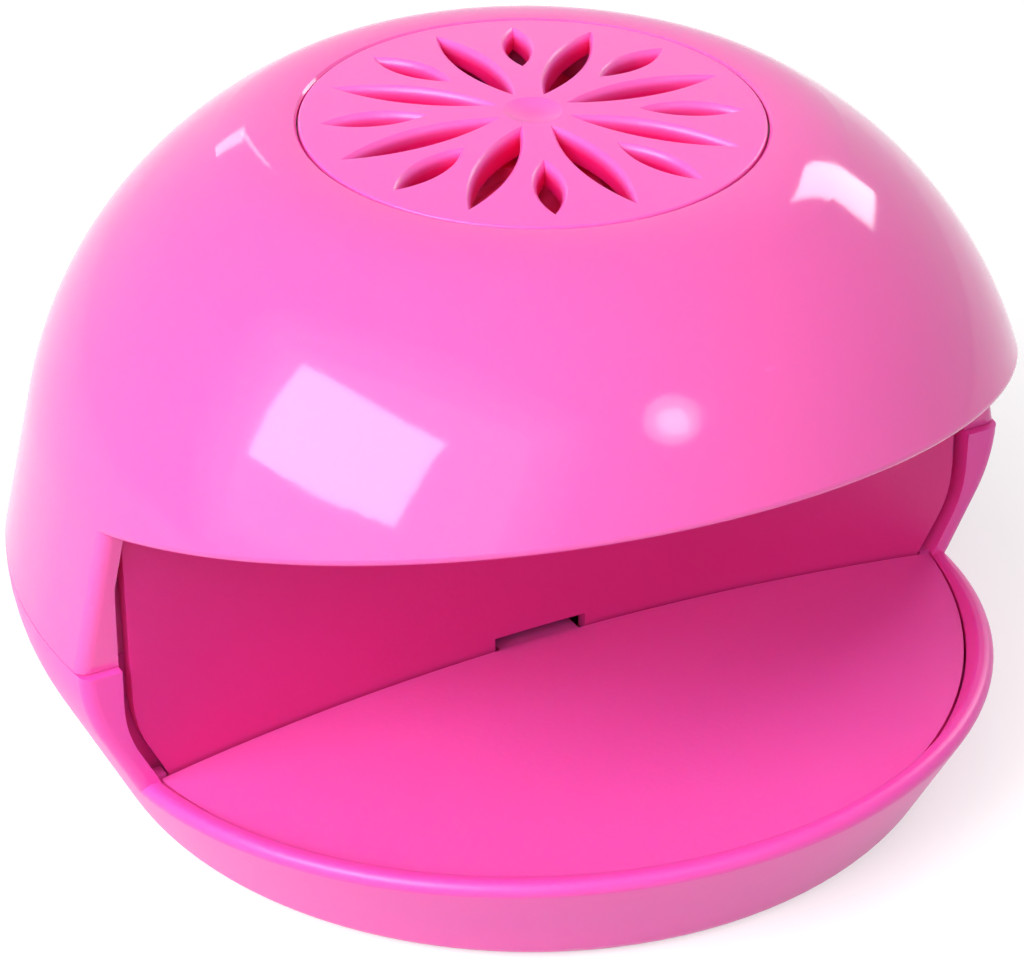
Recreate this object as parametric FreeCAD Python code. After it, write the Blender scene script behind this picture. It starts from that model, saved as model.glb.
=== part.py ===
"""Round fan dryer for nails: a domed shell with a wide finger slot over a press plate.

Frame: origin at the centre of the round underside, on the surface it stands on.
+Z is up, the finger slot opens towards -Y, +X is to the right seen from the back of the slot.
All sizes are millimetres.
"""
import FreeCAD, Part
import math
import os

# ---------------------------------------------------------------- outer shape
PARTING_RADIUS = 55.0          # widest circle, where upper shell and base meet
PARTING_HEIGHT = 24.5
WALL = 2.2
PARTING_GAP = 0.1
BOWL_FLARE_ANGLE = 26.0        # slope of the base's side from the vertical
BOWL_SHOULDER_RADIUS = 19.0    # rounds the base's side into the widest circle
BOTTOM_EDGE_RADIUS = 2.5
SKIRT_DRAFT_ANGLE = 12.0       # slope of the upper shell's lower side from the vertical
SKIRT_HEIGHT = 15.0
SHOULDER_RADIUS = 15.0
CROWN_HEIGHT = 70.0            # flat land around the vent grille
CROWN_LAND = 0.3

# ---------------------------------------------------------------- finger slot
JAMB_Y = -9.1                  # base's upright faces at both ends of the slot
JAMB_STEP = 1.0                # upper shell's upright faces behind the base's
JAMB_DEPTH = 2.5
JAMB_WIDTH = 4.8               # side walls of the slot inside the widest circle
JAMB_EDGE_RADIUS = 1.4
JAMB_FLANGE_DEPTH = 2.0        # behind the back wall's ends
JAMB_FLANGE_LAP = 3.2          # flange inside the slot's side walls
SIDE_WALL_CURVE_RADIUS = 14.0  # rounds the upright side walls into the tray's slope
HOOD_TILT_ANGLE = 15.0         # the hood's lower edge rises towards the front
HOOD_BELOW_CROWN = 32.3        # hood's plane below the crown, at the axis
RIM_HEIGHT = 9.9               # tray's rim beside the jambs
RIM_TILT_ANGLE = 5.4           # the rim rises towards the front
RIM_EDGE_RADIUS = 1.0
RIM_INNER_EDGE_RADIUS = 0.5
HOOD_EDGE_RADIUS = 0.6
FLOOR_THICKNESS = 2.2

# ---------------------------------------------------------------- press plate
PLATE_SEAM = 0.3
PLATE_THICKNESS = 1.6
PLATE_BELOW_RIM = 0.1
PLATE_STROKE = 1.2
PLATE_STOP_CLEARANCE = 0.2
PLATE_RIB_THICKNESS = 1.2
PLATE_RIB_DEPTH = 1.2
PLATE_RIB_INSET = 3.2
TAB_WIDTH = 9.6
TAB_THICKNESS = 1.6
TAB_DROP = 0.5                 # tab's top below the plate's top
TAB_END_Y = 2.6
GUIDE_INSET = 11.2             # guide pins inside the plate's edge
GUIDE_ANGLE_STEP = 57.7        # between the front guide and each side one
GUIDE_PIN_RADIUS = 1.8
GUIDE_CLEARANCE = 0.08
GUIDE_POST_WALL = 1.0
GUIDE_SHOULDER = 2.0           # height of the post's narrow bore
PLATE_SCREW_HEAD_RADIUS = 2.6
PLATE_SCREW_HEAD_HEIGHT = 1.4
PLATE_SCREW_RADIUS = 0.9
PLATE_SCREW_LENGTH = 3.6
SPRING_WIRE_RADIUS = 0.3
SPRING_COIL_CLEARANCE = 0.35
SPRING_TURNS = 4
COIL_STEPS = 12                # straight runs of wire in one turn

# ---------------------------------------------------------------- back wall and outlet panel
BACK_WALL_Y = -3.4             # front face at the middle
BACK_WALL_CURVE_RADIUS = 225.0
BACK_WALL_DRAFT_ANGLE = 3.0    # leans back from the plate upwards
BACK_WALL_THICKNESS = 1.6
BACK_WALL_SIDE_GAP = 1.3       # dark joint between the wall's ends and the side walls
BACK_WALL_PLATE_GAP = 0.35
NOTCH_WIDTH = 11.0
NOTCH_ABOVE_PLATE = 1.3
NOTCH_BELOW_TAB = 0.6
PANEL_RECESS = 2.5             # outlet panel above the hood's edge
PANEL_THICKNESS = 1.6
PANEL_SIDE_CLEARANCE = 0.4
PANEL_SLOT_WIDTH = 2.4
PANEL_SLOT_PITCH = 5.0
PANEL_SLOT_ROWS = 5
PANEL_SLOT_FIRST_Y = -14.0
PANEL_SLOT_HALF_LENGTH = 22.0
PANEL_SCREW_INSET = 14.5       # panel screws inside the widest circle
PANEL_SCREW_ANGLE_STEP = 68.0

# ---------------------------------------------------------------- vent grille
GRILLE_RADIUS = 23.4
GRILLE_GROOVE = 0.2
GRILLE_THICKNESS = 2.0
GRILLE_CROWN = 0.9
GRILLE_EDGE_RADIUS = 0.25
GRILLE_LEDGE = 1.9
GRILLE_LEDGE_HEIGHT = 1.2
PETAL_COUNT = 8
LONG_PETAL_START = 4.6
LONG_PETAL_END = 20.4
LONG_PETAL_WIDTH = 3.0
SHORT_PETAL_START = 11.4
SHORT_PETAL_END = 20.4
SHORT_PETAL_WIDTH = 2.4
PETAL_EDGE_RADIUS = 1.0
PETAL_EDGE_RISE = 0.12         # how far above the grille its rounded edges would end
DIMPLE_RADIUS = 3.0
DIMPLE_DEPTH = 0.6

# ---------------------------------------------------------------- fan and motor
DUCT_WALL = 1.4
DUCT_BELOW_HUB = 0.3
MOTOR_RADIUS = 12.2
MOTOR_LENGTH = 12.3
MOTOR_CAP_HEIGHT = 2.0
MOTOR_BOSS_RADIUS = 3.0
MOTOR_BOSS_HEIGHT = 1.2
MOTOR_FIT = 0.1
SHAFT_RADIUS = 1.0
SHAFT_CLEARANCE = 0.05
SHAFT_SINK = 0.4               # shaft's end below the hub's top
MOTOR_SCREW_OFFSET = 8.5
MOTOR_SCREW_RADIUS = 1.0
BRACKET_THICKNESS = 1.5
BRACKET_GAP = 0.6              # bracket below the duct
BRACKET_CUP_WALL = 1.4
BRACKET_CUP_DEPTH = 6.0
BRACKET_SPOKE_WIDTH = 5.5
BRACKET_PAD_RADIUS = 3.8
BRACKET_PAD_CIRCLE = 28.0
BRACKET_PAD_COUNT = 3
BRACKET_FIRST_ANGLE = 90.0
IMPELLER_TIP_CLEARANCE = 1.0
IMPELLER_HUB_RADIUS = 5.5
IMPELLER_HUB_HEIGHT = 5.6
IMPELLER_GRILLE_GAP = 1.2
IMPELLER_BLADES = 7
IMPELLER_BLADE_THICKNESS = 1.1
IMPELLER_BLADE_ANGLE = 32.0
IMPELLER_BLADE_HEIGHT = 4.4
IMPELLER_BLADE_DROP = 0.2      # blades' top below the hub's top
TERMINAL_LENGTH = 2.6
TERMINAL_WIDTH = 2.0
TERMINAL_THICKNESS = 0.5
MOTOR_TERMINAL_X = 5.0
MOTOR_TERMINAL_Y = 6.0

# ---------------------------------------------------------------- batteries
CELL_RADIUS = 7.25
CELL_LENGTH = 49.5
CELL_NUB_RADIUS = 2.7
CELL_NUB_HEIGHT = 1.0
CELL_GAP = 0.4
BOX_WALL = 1.2
BOX_FRONT_Y = 4.6
CELL_CLEARANCE = 0.3
CONTACT_THICKNESS = 0.4
CONTACT_WIDTH = 10.0
CONTACT_TAB_RISE = 2.4
CONTACT_TAB_WIDTH = 3.0
CONTACT_SPRING_LENGTH = 2.4
CONTACT_SPRING_RADIUS = 3.0
CONTACT_SPRING_WIRE = 0.25
CONTACT_SPRING_TURNS = 2
DOOR_THICKNESS = 2.0
DOOR_GAP = 0.3
DOOR_CORNER_RADIUS = 2.4
DOOR_LEDGE = 0.8               # end walls of the battery box the door rests against
DOOR_EAR_RADIUS = 3.6
DOOR_EAR_REACH = 4.0
DOOR_EAR_PAD = 1.6             # base wall around and above the ear's recess
DOOR_SCREW_SEAT = 1.2
DOOR_SCREW_SINK = 0.2          # head below the door's underside
DOOR_GRIP_COUNT = 4
DOOR_GRIP_WIDTH = 1.0
DOOR_GRIP_PITCH = 2.4
DOOR_GRIP_LENGTH = 12.0
DOOR_GRIP_DEPTH = 0.5

# ---------------------------------------------------------------- screws and bosses
SCREW_RADIUS = 1.2
SCREW_HEAD_RADIUS = 2.1
SCREW_HEAD_HEIGHT = 1.3
SCREW_HEAD_CLEARANCE = 0.35
SCREW_HOLE_CLEARANCE = 0.2
SCREW_LENGTH = 8.0
CASE_SCREW_BITE = 1.5          # screw's end in the upper shell
SHORT_SCREW_LENGTH = 4.2
SCREW_SLOT_WIDTH = 0.6
SCREW_SLOT_DEPTH = 0.5
BOSS_RADIUS = 3.0
CASE_BOSS_RADIUS = 3.6
BOSS_RIB_THICKNESS = 1.6
CASE_BOSS_TOP = 40.0
CASE_SCREW_SEAT = 12.0
CASE_SCREW_INSET = 14.6        # case screws inside the widest circle
CASE_SCREW_ANGLE_STEP = 87.9

# ---------------------------------------------------------------- switch and wires
SWITCH_WIDTH = 12.0
SWITCH_DEPTH = 5.6
SWITCH_TOP = 5.8
SWITCH_CENTRE_Y = 1.4
SWITCH_WALL = 0.8
SWITCH_FIT = 0.1
PLUNGER_RADIUS = 1.5
PLUNGER_CLEARANCE = 0.08
PLUNGER_TAB_GAP = 0.05
PLUNGER_GUIDE = 2.3
PLUNGER_FLANGE_RADIUS = 2.0
PLUNGER_FLANGE_HEIGHT = 0.6
SWITCH_CRADLE_THICKNESS = 1.0
SWITCH_CRADLE_HEIGHT = 2.4
WIRE_RADIUS = 0.6
SWITCH_PIN_REACH = 3.0         # wire's end beside the switch
WIRE_BEND_SHARE = 0.45         # how much of a run its bends may take
# Corners of each wire as shares of the way from its first end to its last along X, Y and Z.
RED_WIRE_SHARES = [(0.0, 0.0, 0.27), (0.31, 0.19, 0.53), (0.82, 0.61, 0.66), (1.0, 1.0, 0.79)]
BLACK_WIRE_SHARES = [(0.0, 0.0, -0.41), (0.32, 0.38, -0.67), (0.77, 0.83, -0.61), (1.0, 1.0, -0.09)]
BLUE_WIRE_SHARES = [(0.0, 0.0, 0.38), (-0.5, 0.74, 0.64), (1.0, 1.0, 0.8)]

# ---------------------------------------------------------------- values that follow
UP = FreeCAD.Vector(0, 0, 1)
FRONT_ANGLE = -90.0
BACK_ANGLE = 90.0
FAR = 4 * PARTING_RADIUS
SLIVER = 0.01
HOOD_HEIGHT_AT_AXIS = CROWN_HEIGHT - HOOD_BELOW_CROWN
JAMB_INNER_X = PARTING_RADIUS - JAMB_WIDTH
CASE_SCREW_LENGTH = PARTING_HEIGHT + CASE_SCREW_BITE - CASE_SCREW_SEAT
PLATE_TOP = RIM_HEIGHT - PLATE_BELOW_RIM
PLATE_UNDERSIDE = PLATE_TOP - PLATE_THICKNESS
PLATE_STOP_HEIGHT = PLATE_UNDERSIDE - PLATE_STROKE - PLATE_STOP_CLEARANCE
GUIDE_POST_TOP = PLATE_STOP_HEIGHT
GUIDE_SHOULDER_HEIGHT = GUIDE_POST_TOP - GUIDE_SHOULDER
GUIDE_BORE_RADIUS = GUIDE_PIN_RADIUS + GUIDE_CLEARANCE
PLATE_SCREW_SINK_RADIUS = PLATE_SCREW_HEAD_RADIUS + SCREW_HEAD_CLEARANCE
GUIDE_POST_RADIUS = PLATE_SCREW_SINK_RADIUS + GUIDE_POST_WALL
SPRING_COIL_RADIUS = GUIDE_POST_RADIUS + SPRING_COIL_CLEARANCE + SPRING_WIRE_RADIUS
TAB_TOP = PLATE_TOP - TAB_DROP
TAB_BOTTOM = TAB_TOP - TAB_THICKNESS
NOTCH_TOP = PLATE_TOP + NOTCH_ABOVE_PLATE
NOTCH_BOTTOM = TAB_BOTTOM - PLATE_STROKE - NOTCH_BELOW_TAB
GRILLE_SEAT_HEIGHT = CROWN_HEIGHT - GRILLE_THICKNESS
GRILLE_OPENING_RADIUS = GRILLE_RADIUS + GRILLE_GROOVE
DUCT_RADIUS = GRILLE_RADIUS - GRILLE_LEDGE
IMPELLER_HUB_TOP = GRILLE_SEAT_HEIGHT - IMPELLER_GRILLE_GAP
IMPELLER_HUB_BOTTOM = IMPELLER_HUB_TOP - IMPELLER_HUB_HEIGHT
IMPELLER_BLADE_TOP = IMPELLER_HUB_TOP - IMPELLER_BLADE_DROP
IMPELLER_BLADE_BOTTOM = IMPELLER_BLADE_TOP - IMPELLER_BLADE_HEIGHT
SHAFT_TOP = IMPELLER_HUB_TOP - SHAFT_SINK
DUCT_BOTTOM = IMPELLER_HUB_BOTTOM - DUCT_BELOW_HUB
BRACKET_TOP = DUCT_BOTTOM - BRACKET_GAP
MOTOR_TOP = BRACKET_TOP - BRACKET_THICKNESS
MOTOR_BOTTOM = MOTOR_TOP - MOTOR_LENGTH
IMPELLER_RADIUS = DUCT_RADIUS - IMPELLER_TIP_CLEARANCE
CELL_BOTTOM = DOOR_THICKNESS + CELL_CLEARANCE
CELL_AXIS_HEIGHT = CELL_BOTTOM + CELL_RADIUS
BOX_INNER_TOP = CELL_BOTTOM + 2 * CELL_RADIUS + CELL_CLEARANCE
BOX_TOP = BOX_INNER_TOP + BOX_WALL
BOX_INNER_FRONT = BOX_FRONT_Y + BOX_WALL
CELL_1_Y = BOX_INNER_FRONT + CELL_CLEARANCE + CELL_RADIUS
CELL_2_Y = CELL_1_Y + 2 * CELL_RADIUS + CELL_GAP
BOX_INNER_BACK = CELL_2_Y + CELL_RADIUS + CELL_CLEARANCE
CELL_ROOM = CELL_LENGTH + CELL_NUB_HEIGHT + CONTACT_SPRING_LENGTH
BOX_HALF_LENGTH = CELL_ROOM / 2 + CONTACT_THICKNESS
DOOR_MIDDLE_Y = (BOX_INNER_FRONT + BOX_INNER_BACK) / 2
DOOR_SCREW_X = BOX_HALF_LENGTH + DOOR_EAR_REACH


# ---------------------------------------------------------------- helpers
def vec(x, y, z):
    return FreeCAD.Vector(x, y, z)


def cylinder(radius, bottom, top, x=0.0, y=0.0):
    return Part.makeCylinder(radius, top - bottom, vec(x, y, bottom))


def ring(outer, inner, bottom, top, x=0.0, y=0.0):
    return cylinder(outer, bottom, top, x, y).cut(cylinder(inner, bottom - SLIVER, top + SLIVER, x, y))


def block(low, high):
    """Box between two opposite corners."""
    return Part.makeBox(high[0] - low[0], high[1] - low[1], high[2] - low[2], vec(*low))


def rounded_block(low, high, radius):
    """Box with its four upright edges rounded."""
    solid = block(low, high)
    upright = [edge for edge in solid.Edges if abs(edge.tangentAt(edge.FirstParameter).z) > 0.9]
    return solid.makeFillet(radius, upright)


def join(solids):
    result = solids[0]
    for solid in solids[1:]:
        result = result.fuse(solid)
    return result.removeSplitter()


def group(solids):
    return Part.makeCompound(solids)


def turned(shape, angle):
    copy = shape.copy()
    copy.rotate(vec(0, 0, 0), UP, angle)
    return copy


def extruded_yz(points, half_width):
    """Prism along X with an outline given in the YZ plane."""
    corners = [vec(-half_width, y, z) for y, z in points]
    face = Part.Face(Part.makePolygon(corners + corners[:1]))
    return face.extrude(vec(2 * half_width, 0, 0))


def revolved(edges):
    """Solid of revolution about Z from an outline in the XZ plane."""
    face = Part.Face(Part.Wire(Part.__sortEdges__(edges)))
    return face.revolve(vec(0, 0, 0), UP, 360)


def xz(point):
    return vec(point[0], 0, point[1])


def line(start, end):
    return Part.LineSegment(xz(start), xz(end)).toShape()


def arc(centre, radius, start_angle, end_angle):
    """Arc in the XZ plane; angles in degrees from the outward radius, counted upwards."""
    middle_angle = (start_angle + end_angle) / 2
    points = [polar(centre, radius, angle) for angle in (start_angle, middle_angle, end_angle)]
    return Part.Arc(*[xz(point) for point in points]).toShape()


def polar(centre, radius, angle):
    turn = math.radians(angle)
    return (centre[0] + radius * math.cos(turn), centre[1] + radius * math.sin(turn))


def hood_height(y):
    return HOOD_HEIGHT_AT_AXIS - y * math.tan(math.radians(HOOD_TILT_ANGLE))


def rim_height(y):
    return RIM_HEIGHT + (JAMB_Y - y) * math.tan(math.radians(RIM_TILT_ANGLE))


def edges_on(solid, height):
    """Curved edges at the front of a solid that lie in the plane of a height function."""
    found = []
    for edge in solid.Edges:
        middle = edge.valueAt((edge.FirstParameter + edge.LastParameter) / 2)
        points = [middle] + [vertex.Point for vertex in edge.Vertexes]
        follows = all(abs(point.z - height(point.y)) < SLIVER for point in points)
        if follows and edge.BoundBox.YMin < -SLIVER:
            found.append(edge)
    return found


def below_hood(rise, front, back, bottom):
    """Everything between two Y planes, from bottom up to the hood's plane moved up by rise."""
    lift = rise / math.cos(math.radians(HOOD_TILT_ANGLE))
    return extruded_yz([(front, bottom), (back, bottom),
                        (back, hood_height(back) + lift), (front, hood_height(front) + lift)], FAR)


def coil(radius, wire_radius, turns, bottom, top):
    """Open coil spring about Z between two heights, its wire bent in short straight runs."""
    count = turns * COIL_STEPS
    rise = (top - bottom - 2 * wire_radius) / count
    corners = [vec(*polar((0, 0), radius, index * 360 / COIL_STEPS), bottom + wire_radius + index * rise)
               for index in range(count + 1)]
    section = Part.Wire(Part.makeCircle(wire_radius, corners[0], (corners[1] - corners[0]).normalize()))
    pipe = Part.BRepOffsetAPI.MakePipeShell(Part.makePolygon(corners))
    pipe.setTransitionMode(1)
    pipe.add(section)
    pipe.build()
    pipe.makeSolid()
    return pipe.shape()


def screw(radius, head_radius, head_height, length, seat, x, y, downwards=False):
    """Slotted screw: head below its seat and shank above it, or the other way round."""
    head = cylinder(head_radius, -head_height, 0)
    head = head.makeFillet(head_height / 3, [edge for edge in head.Edges
                                             if abs(edge.BoundBox.ZMax + head_height) < SLIVER])
    slot = block((-head_radius, -SCREW_SLOT_WIDTH / 2, -head_height - SLIVER),
                 (head_radius, SCREW_SLOT_WIDTH / 2, -head_height + SCREW_SLOT_DEPTH))
    solid = join([head.cut(slot), cylinder(radius, 0, length)])
    if downwards:
        solid.rotate(vec(0, 0, 0), vec(1, 0, 0), 180)
    solid.translate(vec(x, y, seat))
    return solid


# ---------------------------------------------------------------- profile and places
def bowl_profile(inset):
    """Arc centre, arc radius, tangent point and foot radius of the base's outline drawn in by inset."""
    centre = (PARTING_RADIUS - BOWL_SHOULDER_RADIUS, PARTING_HEIGHT)
    radius = BOWL_SHOULDER_RADIUS - inset
    tangent = polar(centre, radius, -BOWL_FLARE_ANGLE)
    foot = tangent[0] - tangent[1] * math.tan(math.radians(BOWL_FLARE_ANGLE))
    return centre, radius, tangent, foot


def spread(circle, middle_angle, step):
    """Three places on a circle: one in the middle and one at a step to each side."""
    return [polar((0, 0), circle, middle_angle + turns * step) for turns in (0, -1, 1)]


POCKET_RADIUS = bowl_profile(WALL)[3] + PLATE_TOP * math.tan(math.radians(BOWL_FLARE_ANGLE))
PLATE_RADIUS = POCKET_RADIUS - PLATE_SEAM
GUIDE_POINTS = spread(PLATE_RADIUS - GUIDE_INSET, FRONT_ANGLE, GUIDE_ANGLE_STEP)
PANEL_SCREW_POINTS = spread(PARTING_RADIUS - PANEL_SCREW_INSET, FRONT_ANGLE, PANEL_SCREW_ANGLE_STEP)
CASE_SCREW_POINTS = spread(PARTING_RADIUS - CASE_SCREW_INSET, BACK_ANGLE, CASE_SCREW_ANGLE_STEP)
BRACKET_PADS = [(angle, polar((0, 0), BRACKET_PAD_CIRCLE, angle))
                for angle in (BRACKET_FIRST_ANGLE + index * 360 / BRACKET_PAD_COUNT
                              for index in range(BRACKET_PAD_COUNT))]


# ---------------------------------------------------------------- outer solids
def bowl_solid(inset):
    """The base's outer form from the underside to the parting height, drawn in by inset."""
    centre, radius, tangent, foot = bowl_profile(inset)
    top = polar(centre, radius, 0)
    bottom = (foot, 0)
    edges = [line((0, 0), bottom), line(bottom, tangent),
             arc(centre, radius, -BOWL_FLARE_ANGLE, 0),
             line(top, (0, PARTING_HEIGHT)), line((0, PARTING_HEIGHT), (0, 0))]
    return revolved(edges)


def dome_solid(inset):
    """The upper shell's outer form above the parting height, drawn in by inset.

    A drafted skirt, one large arc tangent to it, and a shoulder arc tangent to that and to the crown.
    """
    draft = math.radians(SKIRT_DRAFT_ANGLE)
    skirt_top = (PARTING_RADIUS - SKIRT_HEIGHT * math.tan(draft), PARTING_HEIGHT + SKIRT_HEIGHT)
    round_centre = (GRILLE_OPENING_RADIUS + CROWN_LAND, CROWN_HEIGHT - SHOULDER_RADIUS)
    across = round_centre[0] - skirt_top[0]
    above = round_centre[1] - skirt_top[1]
    along = across * math.cos(draft) + above * math.sin(draft)
    dome_radius = (SHOULDER_RADIUS ** 2 - across ** 2 - above ** 2) / (2 * (along + SHOULDER_RADIUS))
    centre = polar(skirt_top, -dome_radius, SKIRT_DRAFT_ANGLE)
    radius = dome_radius - inset
    round_radius = SHOULDER_RADIUS - inset
    crown = CROWN_HEIGHT - inset
    meet_angle = math.degrees(math.atan2(round_centre[1] - centre[1], round_centre[0] - centre[0]))
    skirt_start = (PARTING_RADIUS - inset / math.cos(draft), PARTING_HEIGHT)
    edges = [line((0, PARTING_HEIGHT), skirt_start),
             line(skirt_start, polar(centre, radius, SKIRT_DRAFT_ANGLE)),
             arc(centre, radius, SKIRT_DRAFT_ANGLE, meet_angle),
             arc(round_centre, round_radius, meet_angle, 90),
             line((round_centre[0], crown), (0, crown)), line((0, crown), (0, PARTING_HEIGHT))]
    return revolved(edges)


def in_front_of_back_wall(front_offset, bottom, top):
    """Everything in front of the back wall's leaning face, moved forward by front_offset."""
    slope = math.tan(math.radians(BACK_WALL_DRAFT_ANGLE))
    low = BACK_WALL_CURVE_RADIUS + (bottom - RIM_HEIGHT) * slope
    high = BACK_WALL_CURVE_RADIUS + (top - RIM_HEIGHT) * slope
    centre_y = BACK_WALL_Y - front_offset - BACK_WALL_CURVE_RADIUS
    return Part.makeCone(low, high, top - bottom, vec(0, centre_y, bottom))


def slot_side_walls(inset, foot_inset):
    """Space between the slot's side walls, narrowed by inset, and by foot_inset below the rim."""
    flare = math.radians(BOWL_FLARE_ANGLE)
    low = math.sqrt(POCKET_RADIUS ** 2 - JAMB_Y ** 2) - foot_inset
    high = JAMB_INNER_X - inset
    meet = (math.hypot(JAMB_INNER_X, JAMB_Y) - bowl_profile(WALL)[3]) / math.tan(flare)
    centre = (high - SIDE_WALL_CURVE_RADIUS, meet + SIDE_WALL_CURVE_RADIUS * math.tan(flare / 2))
    slope_end = polar(centre, SIDE_WALL_CURVE_RADIUS, -BOWL_FLARE_ANGLE)
    foot = (slope_end[0] - (slope_end[1] - RIM_HEIGHT) * math.tan(flare), RIM_HEIGHT)
    edges = [line((0, 0), (low, 0)), line((low, 0), (low, RIM_HEIGHT)), line((low, RIM_HEIGHT), foot),
             line(foot, slope_end), arc(centre, SIDE_WALL_CURVE_RADIUS, -BOWL_FLARE_ANGLE, 0),
             line((high, centre[1]), (high, CROWN_HEIGHT)), line((high, CROWN_HEIGHT), (0, CROWN_HEIGHT)),
             line((0, CROWN_HEIGHT), (0, 0))]
    face = Part.Face(Part.Wire(Part.__sortEdges__(edges)))
    face.translate(vec(0, -PARTING_RADIUS, 0))
    half = face.extrude(vec(0, 2 * PARTING_RADIUS, 0))
    return join([half, turned(half, 180)])


def jambs(front):
    """Upright slabs at the slot's ends from a front plane back, with a flange behind the back wall."""
    back = JAMB_Y + JAMB_DEPTH
    foot_inset = BACK_WALL_SIDE_GAP - BACK_WALL_PLATE_GAP
    slab = block((-FAR, front, 0), (FAR, back, CROWN_HEIGHT)).cut(slot_side_walls(0, foot_inset))
    flange = block((-FAR, back - SLIVER, 0), (FAR, back + JAMB_FLANGE_DEPTH, CROWN_HEIGHT))
    flange = flange.cut(in_front_of_back_wall(-BACK_WALL_THICKNESS - BACK_WALL_PLATE_GAP, 0, FAR))
    return join([slab, flange.cut(slot_side_walls(JAMB_FLANGE_LAP, JAMB_FLANGE_LAP))])


def boss_rib(x, y, reach, bottom, top):
    """Flat rib from a boss outwards to the side wall."""
    start = math.hypot(x, y)
    rib = block((start, -BOSS_RIB_THICKNESS / 2, bottom), (reach, BOSS_RIB_THICKNESS / 2, top))
    return turned(rib, math.degrees(math.atan2(y, x)))


# ---------------------------------------------------------------- shells
def upper_outer():
    """Dome with the finger slot cut out of its front, the hood's and the jambs' edges rounded."""
    dome = dome_solid(0)
    hood = dome.common(block((-FAR, -FAR, 0), (FAR, 0, FAR))).cut(below_hood(0, -FAR, FAR, 0))
    hood = hood.makeFillet(HOOD_EDGE_RADIUS, edges_on(hood, hood_height))
    ends = slot_ends(dome, JAMB_Y + JAMB_STEP, PARTING_HEIGHT, hood_height(2 * JAMB_Y))
    return join([hood, ends, behind_axis(dome)])


def slot_ends(solid, front, bottom, top):
    """Part of a solid between an upright plane and the axis, its outer edges in that plane rounded."""
    ends = solid.common(block((-FAR, front, bottom), (FAR, 0, top)))
    upright = [edge for edge in ends.Edges if edge.BoundBox.YMax < front + SLIVER
               and edge.BoundBox.ZLength > SLIVER]
    return ends.makeFillet(JAMB_EDGE_RADIUS, upright)


def behind_axis(solid):
    return solid.common(block((-FAR, 0, 0), (FAR, FAR, FAR)))


def bowl_form():
    """The base's outer form with its foot rounded."""
    bowl = bowl_solid(0)
    foot = [edge for edge in bowl.Edges if edge.BoundBox.ZMax < SLIVER and edge.Closed]
    return bowl.makeFillet(BOTTOM_EDGE_RADIUS, foot)


def bowl_cavity():
    return bowl_solid(WALL).cut(block((-FAR, -FAR, 0), (FAR, FAR, FLOOR_THICKNESS)))


def tray_form():
    """Front of the bowl cut down to the tilted rim, the rim's outer edge rounded."""
    front = extruded_yz([(-FAR, -FAR), (0, -FAR), (0, rim_height(0)), (-FAR, rim_height(-FAR))], FAR)
    tray = bowl_form().common(front)
    return tray.makeFillet(RIM_EDGE_RADIUS, edges_on(tray, rim_height))


def base_rear():
    """Bowl behind the tray, the jambs' outer edges rounded."""
    bowl = bowl_form()
    return join([slot_ends(bowl, JAMB_Y, RIM_HEIGHT / 2, PARTING_HEIGHT), behind_axis(bowl)])


def base_wall():
    """Wall and floor of the base, the tray's rim rounded on both sides."""
    tray = tray_form().cut(bowl_cavity())
    inner = min(edges_on(tray, rim_height), key=lambda edge: edge.BoundBox.XLength)
    tray = tray.makeFillet(RIM_INNER_EDGE_RADIUS, [inner])
    return join([tray, base_rear().cut(bowl_cavity())])


def upper_shell():
    outer = upper_outer()
    shell = outer.cut(dome_solid(WALL))
    ends = outer.common(jambs(JAMB_Y + JAMB_STEP))
    inner_parts = [ring(DUCT_RADIUS + DUCT_WALL, DUCT_RADIUS, DUCT_BOTTOM, CROWN_HEIGHT)]
    inner_parts.append(ring(GRILLE_OPENING_RADIUS + DUCT_WALL, DUCT_RADIUS,
                            GRILLE_SEAT_HEIGHT - GRILLE_LEDGE_HEIGHT, CROWN_HEIGHT))
    for x, y in CASE_SCREW_POINTS:
        inner_parts.append(cylinder(BOSS_RADIUS, PARTING_HEIGHT, CASE_BOSS_TOP, x, y))
        inner_parts.append(boss_rib(x, y, PARTING_RADIUS, PARTING_HEIGHT, CASE_BOSS_TOP))
    for angle, (x, y) in BRACKET_PADS:
        inner_parts.append(cylinder(BOSS_RADIUS, BRACKET_TOP, CROWN_HEIGHT, x, y))
    for x, y in PANEL_SCREW_POINTS:
        post = cylinder(BOSS_RADIUS, PARTING_HEIGHT, CROWN_HEIGHT, x, y)
        inner_parts.append(post.cut(below_hood(PANEL_RECESS + PANEL_THICKNESS, -FAR, FAR, -FAR)))
    inner = join(inner_parts).common(outer)
    shell = join([shell, ends, inner])
    shell = shell.cut(cylinder(GRILLE_OPENING_RADIUS, GRILLE_SEAT_HEIGHT, FAR))
    shell = shell.cut(Part.makeCone(GRILLE_OPENING_RADIUS, GRILLE_OPENING_RADIUS + GRILLE_EDGE_RADIUS,
                                    GRILLE_EDGE_RADIUS, vec(0, 0, CROWN_HEIGHT - GRILLE_EDGE_RADIUS)))
    shell = shell.cut(cylinder(DUCT_RADIUS, DUCT_BOTTOM - SLIVER, FAR))
    for x, y in CASE_SCREW_POINTS:
        shell = shell.cut(cylinder(SCREW_RADIUS, 0, CASE_SCREW_SEAT + CASE_SCREW_LENGTH, x, y))
    for angle, (x, y) in BRACKET_PADS:
        shell = shell.cut(cylinder(SCREW_RADIUS, 0, MOTOR_TOP + SHORT_SCREW_LENGTH, x, y))
    for x, y in PANEL_SCREW_POINTS:
        shell = shell.cut(cylinder(SCREW_RADIUS, 0, panel_screw_seat(x, y) + SHORT_SCREW_LENGTH, x, y))
    return shell


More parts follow.
